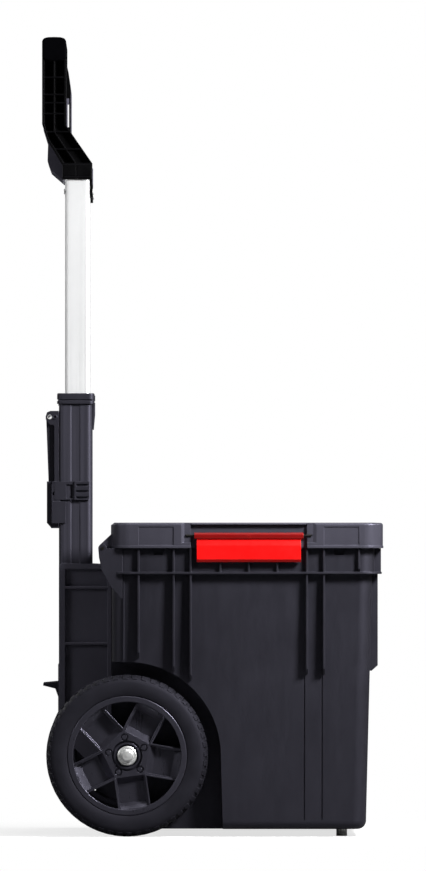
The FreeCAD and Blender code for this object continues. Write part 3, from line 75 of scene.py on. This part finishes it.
class Graph:
    """A material under construction, with short calls for the nodes that the materials share."""

    def __init__(self, name):
        self.material = bpy.data.materials.new(name)
        self.material.use_nodes = True
        self.tree = self.material.node_tree
        self.tree.nodes.clear()
        self.place = self.add("ShaderNodeTexCoord").outputs["Object"]

    def add(self, kind, inputs=None, **settings):
        """Adds a node, links or sets its inputs, and returns it."""
        node = self.tree.nodes.new(kind)
        for name, value in settings.items():
            setattr(node, name, value)
        for key, value in (inputs or {}).items():
            if isinstance(value, bpy.types.NodeSocket):
                self.tree.links.new(value, node.inputs[key])
            else:
                node.inputs[key].default_value = value
        return node

    def math(self, operation, *values, clamp=False):
        """The result of a maths node on its values."""
        node = self.add("ShaderNodeMath", dict(enumerate(values)), operation=operation, use_clamp=clamp)
        return node.outputs[0]

    def noise(self, scale, detail=3.0, roughness=0.55, stretch=None, distortion=0.0):
        """A noise value; stretch squeezes the pattern along each axis."""
        place = self.place
        if stretch:
            place = self.add("ShaderNodeMapping", {"Vector": place, "Scale": stretch}).outputs[0]
        inputs = {
            "Vector": place,
            "Scale": scale,
            "Detail": detail,
            "Roughness": roughness,
            "Distortion": distortion,
        }
        return self.add("ShaderNodeTexNoise", inputs).outputs[0]

    def spread(self, value, low, high, start=0.3, end=0.7):
        """Maps a value from start..end to low..high."""
        inputs = {"Value": value, "From Min": start, "From Max": end, "To Min": low, "To Max": high}
        return self.add("ShaderNodeMapRange", inputs).outputs[0]

    def mix(self, share, first, second):
        """A colour between first and second, with share of the second."""
        node = self.add("ShaderNodeMix", data_type="RGBA")
        for socket, value in ((0, share), (6, first), (7, second)):
            if isinstance(value, bpy.types.NodeSocket):
                self.tree.links.new(value, node.inputs[socket])
            else:
                node.inputs[socket].default_value = value
        return node.outputs[2]

    def edges(self, radius):
        """The rounded normal, and a mask that is 1 on sharp outer and inner edges."""
        rounded = self.add("ShaderNodeBevel", {"Radius": radius}, samples=6).outputs[0]
        true_normal = self.add("ShaderNodeNewGeometry").outputs["Normal"]
        turn = self.add("ShaderNodeVectorMath", {0: rounded, 1: true_normal}, operation="DOT_PRODUCT")
        return rounded, self.spread(turn.outputs["Value"], 1.0, 0.0, 0.82, 0.995)

    def bump(self, height, distance, normal=None, strength=1.0):
        """A normal tilted by a height pattern that stands proud by distance."""
        inputs = {"Height": height, "Distance": distance, "Strength": strength}
        if normal is not None:
            inputs["Normal"] = normal
        return self.add("ShaderNodeBump", inputs).outputs[0]

    def surface(self, **inputs):
        """Ends the graph in a Principled shader. Underscores in the names stand for spaces."""
        named = {key.replace("_", " "): value for key, value in inputs.items()}
        shader = self.add("ShaderNodeBsdfPrincipled", named)
        self.add("ShaderNodeOutputMaterial", {"Surface": shader.outputs[0]})
        return self.material


def shade(value, tint=NEUTRAL):
    """An opaque grey of a given tone, multiplied by a tint."""
    return (value * tint[0], value * tint[1], value * tint[2], 1.0)


def moulded_plastic(name, tone, roughness, grain=1.0, shine=0.5, tint=COOL):
    """Injection-moulded plastic: spark-eroded grain, faint cloudy shade, paler worn edges."""
    g = Graph(name)
    rounded, edge = g.edges(0.0009)
    cloud = g.noise(9.0, 4.0)
    fine = g.noise(1500.0, 2.0, 0.6)
    scuff = g.noise(70.0, 5.0, 0.7, (1.0, 1.0, 0.25))
    base = g.mix(g.spread(cloud, 0.0, 1.0), shade(tone * 0.85, tint), shade(tone * 1.15, tint))
    worn = g.math("MULTIPLY", edge, g.spread(scuff, 0.05, 0.5), clamp=True)
    colour = g.mix(worn, base, shade(min(1.0, tone * 2.4), tint))
    rough = g.math("ADD", g.spread(scuff, -0.05, 0.07), roughness)
    normal = g.bump(fine, 0.00006 * grain, rounded, 0.55)
    return g.surface(
        Base_Color=colour,
        Roughness=rough,
        Normal=normal,
        Specular_IOR_Level=shine,
        Specular_Tint=COOL_SHINE,
    )


def handle_plastic(name):
    """Glass-filled black plastic with a faint swirl, and painted light from below that turns the bridge
    between the arms grey.
    """
    g = Graph(name)
    rounded, edge = g.edges(0.0009)
    across = g.add("ShaderNodeSeparateXYZ", {0: g.place}).outputs["Y"]
    in_lit_bridge = g.math("LESS_THAN", g.math("ABSOLUTE", across), ARM_INNER_FACE)
    swirl = g.noise(60.0, 5.0, 0.6, distortion=1.2)
    black = g.mix(g.spread(swirl, 0.0, 1.0), shade(0.0006, COOL), shade(0.0014, COOL))
    # painted light: the bridge between the arms is drawn grey as if lit from below
    grey = g.mix(g.spread(swirl, 0.0, 1.0), shade(0.085, COOL), shade(0.105, COOL))
    colour = g.mix(in_lit_bridge, black, grey)
    colour = g.mix(g.math("MULTIPLY", edge, 0.35), colour, shade(0.012, COOL))
    normal = g.bump(g.noise(1300.0, 2.0, 0.6), 0.00006, rounded, 0.5)
    rough = g.spread(swirl, 0.46, 0.56)
    return g.surface(Base_Color=colour, Roughness=rough, Normal=normal, Specular_IOR_Level=0.05)


def gloss_red(name):
    """Semi-gloss red plastic with faint flow streaks, and a painted shade that darkens the barrel along the
    latch's hinge.
    """
    g = Graph(name)
    rounded, edge = g.edges(0.0008)
    cloud = g.noise(24.0, 3.0, 0.5, (0.35, 1.0, 1.0))
    fine = g.noise(900.0, 2.0)
    flap = g.mix(g.spread(cloud, 0.0, 1.0), MID_RED, LIGHT_RED)
    barrel_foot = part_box("latch_right")[1].z - BARREL_HEIGHT
    height = g.add("ShaderNodeSeparateXYZ", {0: g.place}).outputs["Z"]
    in_shaded_barrel = g.math("GREATER_THAN", height, barrel_foot)
    # painted shade: the barrel above its foot is drawn in a darker red
    base = g.mix(in_shaded_barrel, flap, BARREL_SHADE_RED)
    colour = g.mix(g.math("MULTIPLY", edge, 0.3), base, WORN_RED)
    rough = g.spread(g.noise(180.0, 4.0), 0.32, 0.42)
    normal = g.bump(fine, 0.00003, rounded, 0.4)
    return g.surface(Base_Color=colour, Roughness=rough, Normal=normal, Specular_IOR_Level=0.25)


def coated_tube(name):
    """Satin black powder coat: orange-peel surface with fine draw lines along the tube."""
    g = Graph(name)
    rounded, edge = g.edges(0.0008)
    peel = g.noise(700.0, 3.0, 0.5)
    lines = g.noise(260.0, 3.0, 0.6, (1.0, 1.0, 0.01))
    colour = g.mix(g.spread(lines, 0.0, 1.0), shade(0.022, COOL), shade(0.036, COOL))
    colour = g.mix(g.math("MULTIPLY", edge, 0.3), colour, shade(0.12, COOL))
    normal = g.bump(peel, 0.00005, rounded, 0.5)
    rough = g.spread(lines, 0.34, 0.46)
    return g.surface(Base_Color=colour, Roughness=rough, Normal=normal, Specular_Tint=COOL_SHINE)


def drawn_aluminium(name):
    """Satin anodised aluminium, with draw lines along Z."""
    g = Graph(name)
    rounded, _ = g.edges(0.0005)
    lines = g.noise(1100.0, 4.0, 0.7, (1.0, 1.0, 0.004))
    blotch = g.noise(16.0, 3.0)
    colour = g.mix(g.spread(blotch, 0.0, 1.0), (0.84, 0.845, 0.85, 1.0), (0.89, 0.895, 0.90, 1.0))
    rough = g.math("ADD", g.spread(lines, 0.0, 0.14), 0.42)
    normal = g.bump(lines, 0.00004, rounded, 0.6)
    return g.surface(Base_Color=colour, Metallic=0.6, Roughness=rough, Normal=normal)


def zinc_steel(name):
    """Zinc-plated steel with a mottled passivated sheen and fine scratches."""
    g = Graph(name)
    rounded, edge = g.edges(0.0003)
    mottle = g.noise(320.0, 5.0, 0.7, distortion=0.6)
    scratch = g.noise(1600.0, 3.0, 0.8, (1.0, 0.05, 0.4))
    colour = g.mix(g.spread(mottle, 0.0, 1.0), (0.74, 0.75, 0.76, 1.0), (0.92, 0.92, 0.90, 1.0))
    colour = g.mix(g.math("MULTIPLY", edge, 0.5), colour, (0.95, 0.95, 0.95, 1.0))
    normal = g.bump(scratch, 0.00003, rounded, 0.5)
    return g.surface(Base_Color=colour, Metallic=0.8, Roughness=g.spread(mottle, 0.36, 0.5), Normal=normal)


def dark_steel(name):
    """Oil-blackened steel with a brown-grey mottle and paler rubbed edges."""
    g = Graph(name)
    rounded, edge = g.edges(0.0003)
    mottle = g.noise(240.0, 5.0, 0.7)
    colour = g.mix(g.spread(mottle, 0.0, 1.0), shade(0.012), (0.024, 0.022, 0.02, 1.0))
    colour = g.mix(g.math("MULTIPLY", edge, 0.4), colour, shade(0.06))
    normal = g.bump(mottle, 0.00003, rounded, 0.5)
    rough = g.spread(mottle, 0.34, 0.5)
    return g.surface(Base_Color=colour, Metallic=0.7, Roughness=rough, Normal=normal)


def soft_rubber(name, tone, roughness, grain=1.0, shine=0.25):
    """Matt rubber: pebbled skin, dusty bloom in the hollows and paler rubbed edges."""
    g = Graph(name)
    rounded, edge = g.edges(0.0008)
    pebble = g.add("ShaderNodeTexVoronoi", {"Vector": g.place, "Scale": 900.0 / grain}).outputs["Distance"]
    dust = g.noise(38.0, 5.0, 0.65)
    colour = g.mix(g.spread(dust, 0.0, 1.0), shade(tone * 0.8, COOL), shade(tone * 1.5, COOL))
    colour = g.mix(g.math("MULTIPLY", edge, 0.35), colour, shade(tone * 2.4, COOL))
    rough = g.math("ADD", g.spread(dust, -0.05, 0.08), roughness)
    normal = g.bump(pebble, 0.00008 * grain, rounded, 0.5)
    return g.surface(
        Base_Color=colour,
        Roughness=rough,
        Normal=normal,
        Specular_IOR_Level=shine,
        Specular_Tint=COOL_SHINE,
    )


def make_materials():
    """All materials by name: the record's slots, a lighter tone for the lid, the frame plastic lightened as
    painted light for the rear frame, and the handle's plastic with painted light on its bridge.
    """
    return {
        "moulded_plastic": moulded_plastic("moulded_plastic", 0.012, 0.45),
        "lid_plastic": moulded_plastic("lid_plastic", 0.038, 0.40),
        "frame_plastic": moulded_plastic("frame_plastic", 0.014, 0.45),
        # the frame plastic lightened as painted light, for the rear frame that lies in the box's shadow
        "frame_plastic_painted_light": moulded_plastic("frame_plastic_painted_light", 0.075, 0.45),
        "handle_plastic": handle_plastic("handle_plastic"),
        "coated_tube": coated_tube("coated_tube"),
        "bare_aluminium": drawn_aluminium("bare_aluminium"),
        "red_plastic": gloss_red("red_plastic"),
        "soft_grip": soft_rubber("soft_grip", 0.0006, 0.62, 1.0, 0.02),
        "wheel_tyre": soft_rubber("wheel_tyre", 0.0075, 0.66, 1.4),
        "wheel_plastic": moulded_plastic("wheel_plastic", 0.022, 0.30, 0.7, 0.7),
        "natural_nylon": moulded_plastic("natural_nylon", 0.78, 0.5, 1.0, 0.4, WARM),
        "dark_steel": dark_steel("dark_steel"),
        "zinc_steel": zinc_steel("zinc_steel"),
    }


def dress(materials):
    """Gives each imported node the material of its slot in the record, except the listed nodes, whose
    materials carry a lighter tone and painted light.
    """
    slots = {part["node"]: part["material_slot"] for part in frame["record"]["subparts"]}
    # the lid in a lighter tone; the rear frame with painted light; the handle's pieces with painted light
    # on the bridge
    tone_and_painted_light = {
        "lid": "lid_plastic",
        "rear_frame": "frame_plastic_painted_light",
        "handle_frame": "handle_plastic",
        "arm_cover_left": "handle_plastic",
        "arm_cover_right": "handle_plastic",
        "release_trigger": "handle_plastic",
    }
    for node, piece in frame["nodes"].items():
        kind = tone_and_painted_light.get(node, slots[node])
        piece.data.materials.clear()
        piece.data.materials.append(materials[kind])


# ---------------------------------------------------------------- mesh helpers


def piece_from(mesh_data, name, material, smooth_below=35.0):
    """Turns a bmesh into an object with one material, smooth except across sharp edges."""
    bmesh.ops.recalc_face_normals(mesh_data, faces=mesh_data.faces)
    mesh = bpy.data.meshes.new(name)
    mesh_data.to_mesh(mesh)
    mesh_data.free()
    mesh.shade_smooth()
    mesh.set_sharp_from_angle(angle=math.radians(smooth_below))
    piece = bpy.data.objects.new(name, mesh)
    bpy.context.scene.collection.objects.link(piece)
    mesh.materials.append(material)
    return piece


def turned_point(centre, radius, across, angle):
    """A point at a radius and angle about an axle along Y, a distance across from the centre."""
    return centre + Vector((radius * math.sin(angle), across, radius * math.cos(angle)))


def sweep(mesh_data, centre, section, angles, closed=False):
    """Sweeps a closed (radius, across) section round the axle through the angles, capping an open sweep."""
    middle_across = sum(across for _, across in section) / len(section)
    low = min(radius for radius, _ in section)
    loops = []
    for angle, scale in angles:
        loop = []
        for radius, across in section:
            squeezed = low + (radius - low) * scale
            inward = middle_across + (across - middle_across) * (1.0 + scale) / 2
            loop.append(mesh_data.verts.new(turned_point(centre, squeezed, inward, angle)))
        loops.append(loop)
    count = len(section)
    pairs = list(zip(loops, loops[1:]))
    if closed:
        pairs.append((loops[-1], loops[0]))
    for first, second in pairs:
        for i in range(count):
            j = (i + 1) % count
            mesh_data.faces.new((first[i], first[j], second[j], second[i]))
    if not closed:
        mesh_data.faces.new(list(reversed(loops[0])))
        mesh_data.faces.new(loops[-1])


# ---------------------------------------------------------------- tyres

TREAD_PITCHES = 52
# depth of the sidewall, from the tread down to the bead
BEAD_DEPTH = 0.0288
# cross-sections of the carcass in a full turn
CARCASS_TURNS = 180
# the crown blocks' sides, as distances from the tyre's middle
CROWN_NEAR, CROWN_FAR = 0.0012, 0.0080
# where the blocks start and end, as shares of one pitch
SHOULDER_END = 0.62
CROWN_START, CROWN_END = 0.3, 0.96
# a block's sloping end, as a share of its length, and its size at the tip
SLOPE_SHARE = 0.08
TIP_SCALE = 0.6


def tyre_section(radius, half_width):
    """The carcass outline, as (radius, across) points round one closed loop."""
    bead = radius - BEAD_DEPTH
    one_side = [
        (bead, half_width - 0.0045),
        (bead + 0.0003, half_width - 0.0028),
        (bead + 0.0016, half_width - 0.0028),
        (bead + 0.0018, half_width - 0.0014),
        (bead + 0.0030, half_width - 0.0006),
        (bead + 0.0120, half_width),
        (radius - 0.0110, half_width - 0.0002),
        (radius - 0.0072, half_width - 0.0012),
        (radius - 0.0046, half_width - 0.0032),
        (radius - 0.0028, half_width - 0.0070),
        (radius - 0.0016, half_width - 0.0130),
    ]
    other_side = [(r, -a) for r, a in reversed(one_side)]
    return one_side + [(radius - 0.0014, 0.0)] + other_side


def shoulder_block(radius, half_width, side):
    """The section of one shoulder block, from the tread's side to the turn of the sidewall."""
    points = [
        (radius - 0.0035, half_width - 0.0135),
        (radius - 0.0001, half_width - 0.0130),
        (radius - 0.0006, half_width - 0.0084),
        (radius - 0.0024, half_width - 0.0046),
        (radius - 0.0052, half_width - 0.0018),
        (radius - 0.0062, half_width - 0.0028),
        (radius - 0.0050, half_width - 0.0070),
    ]
    return [(r, side * a) for r, a in points]


def crown_block(radius, low, high):
    """The section of one block of the tread's middle, between two distances across."""
    return [
        (radius - 0.0030, low),
        (radius, low + 0.0006),
        (radius, high - 0.0006),
        (radius - 0.0030, high),
    ]


def ramped(start, end, steps):
    """Angles from start to end, with a scale that drops at both ends so that the block's ends slope."""
    full_share = 1.0 - 2 * SLOPE_SHARE
    inner = [start + (end - start) * (SLOPE_SHARE + full_share * i / steps) for i in range(steps + 1)]
    return [(start, TIP_SCALE), *[(angle, 1.0) for angle in inner], (end, TIP_SCALE)]


def make_tyre(side, material):
    """A tyre with two rows of shoulder blocks and two rows of crown blocks, staggered by half a pitch."""
    low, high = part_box(f"tyre_{side}")
    centre = (low + high) / 2
    radius = (high.z - low.z) / 2
    half_width = (high.y - low.y) / 2
    mesh_data = bmesh.new()
    full_turn = [(2 * math.pi * i / CARCASS_TURNS, 1.0) for i in range(CARCASS_TURNS)]
    sweep(mesh_data, centre, tyre_section(radius, half_width), full_turn, closed=True)
    pitch = 2 * math.pi / TREAD_PITCHES
    for i in range(TREAD_PITCHES):
        for sign, shift in ((1, 0.0), (-1, 0.5)):
            begin = (i + shift) * pitch
            shoulder_angles = ramped(begin, begin + pitch * SHOULDER_END, 2)
            sweep(mesh_data, centre, shoulder_block(radius, half_width, sign), shoulder_angles)
            low_side, high_side = sorted((sign * CROWN_NEAR, sign * CROWN_FAR))
            crown_angles = ramped(begin + pitch * CROWN_START, begin + pitch * CROWN_END, 2)
            sweep(mesh_data, centre, crown_block(radius, low_side, high_side), crown_angles)
    tyre = piece_from(mesh_data, f"tyre_tread_{side}", material)
    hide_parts(f"tyre_{side}")
    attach(tyre, f"wheel_{side}")


# ---------------------------------------------------------------- stage

# height of the strip that fills the frame, at the depth of the near side
PICTURE_HEIGHT = 1.1323
CAMERA_PLACE = Vector((-0.10, -20.2, 0.42))
# where the camera aims, forwards and up
AIM_FORWARD, AIM_HEIGHT = 0.0006, 0.5206
SENSOR_WIDTH = 36.0

# where the lights aim
BOX_MIDDLE = (0.0, 0.0, 0.45)
NEAR_SIDE = (0.0, -0.28, 0.42)
# name, place, aim, size and power in watts
LIGHTS = (
    ("key", (0.82, -0.92, 1.05), NEAR_SIDE, (0.3, 0.3), 40),
    ("left_fill", (-2.0, -1.35, 1.1), NEAR_SIDE, (0.7, 0.7), 11),
    ("top", (0.2, -0.2, 3.2), BOX_MIDDLE, (1.8, 1.2), 40),
    ("back_left", (-3.0, 2.6, 1.9), BOX_MIDDLE, (1.6, 2.0), 40),
    ("front_rim", (2.3, -0.1, 1.9), BOX_MIDDLE, (1.8, 1.6), 24),
)
# how strongly the world lights the object
WORLD_TONE = 0.015

FLOOR_RADIUS = 40.0
# the floor lies this far below the wheels and feet, so that no faces coincide
FLOOR_DROP = 0.0005
# the floor's tone and added light near the object, and the tone that lights the object from below
FLOOR_TONES = (0.36, 0.40)
FLOOR_LIFT = 0.72
FLOOR_BOUNCE = 0.15
# distances from the middle between which the floor fades to white
FLOOR_FADE = (0.35, 0.85)


def make_camera():
    """A long lens, almost square to the right-hand side, a little above the lid's rim."""
    tyre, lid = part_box("tyre_right")[0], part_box("lid")[0]
    middle_depth = (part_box("outer_tube_right")[0].y + min(tyre.y, lid.y)) / 2
    target = Vector((AIM_FORWARD, middle_depth, AIM_HEIGHT))
    camera = bpy.data.objects.new("camera", bpy.data.cameras.new("camera"))
    bpy.context.scene.collection.objects.link(camera)
    direction = target - CAMERA_PLACE
    camera.location = CAMERA_PLACE
    camera.rotation_mode = "QUATERNION"
    camera.rotation_quaternion = direction.to_track_quat("-Z", "Y")
    camera.data.sensor_width = SENSOR_WIDTH
    camera.data.lens = SENSOR_WIDTH * direction.length / PICTURE_HEIGHT
    camera.data.clip_start, camera.data.clip_end = 0.1, 90.0
    bpy.context.scene.camera = camera


def area_light(name, place, target, size, power):
    """A soft rectangular light, aimed at the target and hidden from the camera."""
    light = bpy.data.objects.new(name, bpy.data.lights.new(name, "AREA"))
    bpy.context.scene.collection.objects.link(light)
    light.data.shape = "RECTANGLE"
    light.data.size, light.data.size_y = size
    light.data.energy = power
    light.location = place
    light.rotation_mode = "QUATERNION"
    light.rotation_quaternion = (Vector(target) - Vector(place)).to_track_quat("-Z", "Y")
    light.visible_camera = False


def make_world():
    """A world that is white to the camera and almost dark to everything else."""
    world = bpy.data.worlds.new("studio")
    bpy.context.scene.world = world
    world.use_nodes = True
    tree = world.node_tree
    tree.nodes.clear()
    path = tree.nodes.new("ShaderNodeLightPath")
    seen = tree.nodes.new("ShaderNodeBackground")
    seen.inputs["Color"].default_value = shade(1.0)
    lighting = tree.nodes.new("ShaderNodeBackground")
    lighting.inputs["Color"].default_value = shade(WORLD_TONE)
    mix = tree.nodes.new("ShaderNodeMixShader")
    output = tree.nodes.new("ShaderNodeOutputWorld")
    tree.links.new(path.outputs["Is Camera Ray"], mix.inputs[0])
    tree.links.new(lighting.outputs[0], mix.inputs[1])
    tree.links.new(seen.outputs[0], mix.inputs[2])
    tree.links.new(mix.outputs[0], output.inputs["Surface"])


def make_floor():
    """A wide pale floor: it takes a soft shadow near the box and turns pure white further out."""
    g = Graph("floor")
    darker, paler = FLOOR_TONES
    tone = g.mix(g.spread(g.noise(3.0, 3.0), 0.0, 1.0), shade(darker), shade(paler))
    diffuse = g.add("ShaderNodeBsdfDiffuse", {"Color": tone})
    lift = g.add("ShaderNodeEmission", {"Color": shade(1.0), "Strength": FLOOR_LIFT})
    near = g.add("ShaderNodeAddShader", {0: diffuse.outputs[0], 1: lift.outputs[0]})
    far = g.add("ShaderNodeEmission", {"Color": shade(1.0), "Strength": 1.0})
    reach = g.add("ShaderNodeVectorMath", {0: g.place}, operation="LENGTH").outputs["Value"]
    share = g.spread(reach, 0.0, 1.0, *FLOOR_FADE)
    seen = g.add("ShaderNodeMixShader", {0: share, 1: near.outputs[0], 2: far.outputs[0]})
    camera_ray = g.add("ShaderNodeLightPath").outputs["Is Camera Ray"]
    bounce = g.add("ShaderNodeBsdfDiffuse", {"Color": shade(FLOOR_BOUNCE)})
    both = g.add("ShaderNodeMixShader", {0: camera_ray, 1: bounce.outputs[0], 2: seen.outputs[0]})
    g.add("ShaderNodeOutputMaterial", {"Surface": both.outputs[0]})
    mesh_data = bmesh.new()
    bmesh.ops.create_circle(mesh_data, cap_ends=True, segments=96, radius=FLOOR_RADIUS)
    floor = piece_from(mesh_data, "floor", g.material)
    floor.location.z = -FLOOR_DROP


def set_view():
    """Shows colours as they are, with no film look."""
    scene = bpy.context.scene
    scene.view_settings.view_transform = "Standard"
    scene.view_settings.look = "None"


materials = make_materials()
dress(materials)
for side in ("left", "right"):
    make_tyre(side, materials["wheel_tyre"])
make_world()
for light in LIGHTS:
    area_light(*light)
make_floor()
make_camera()
set_view()
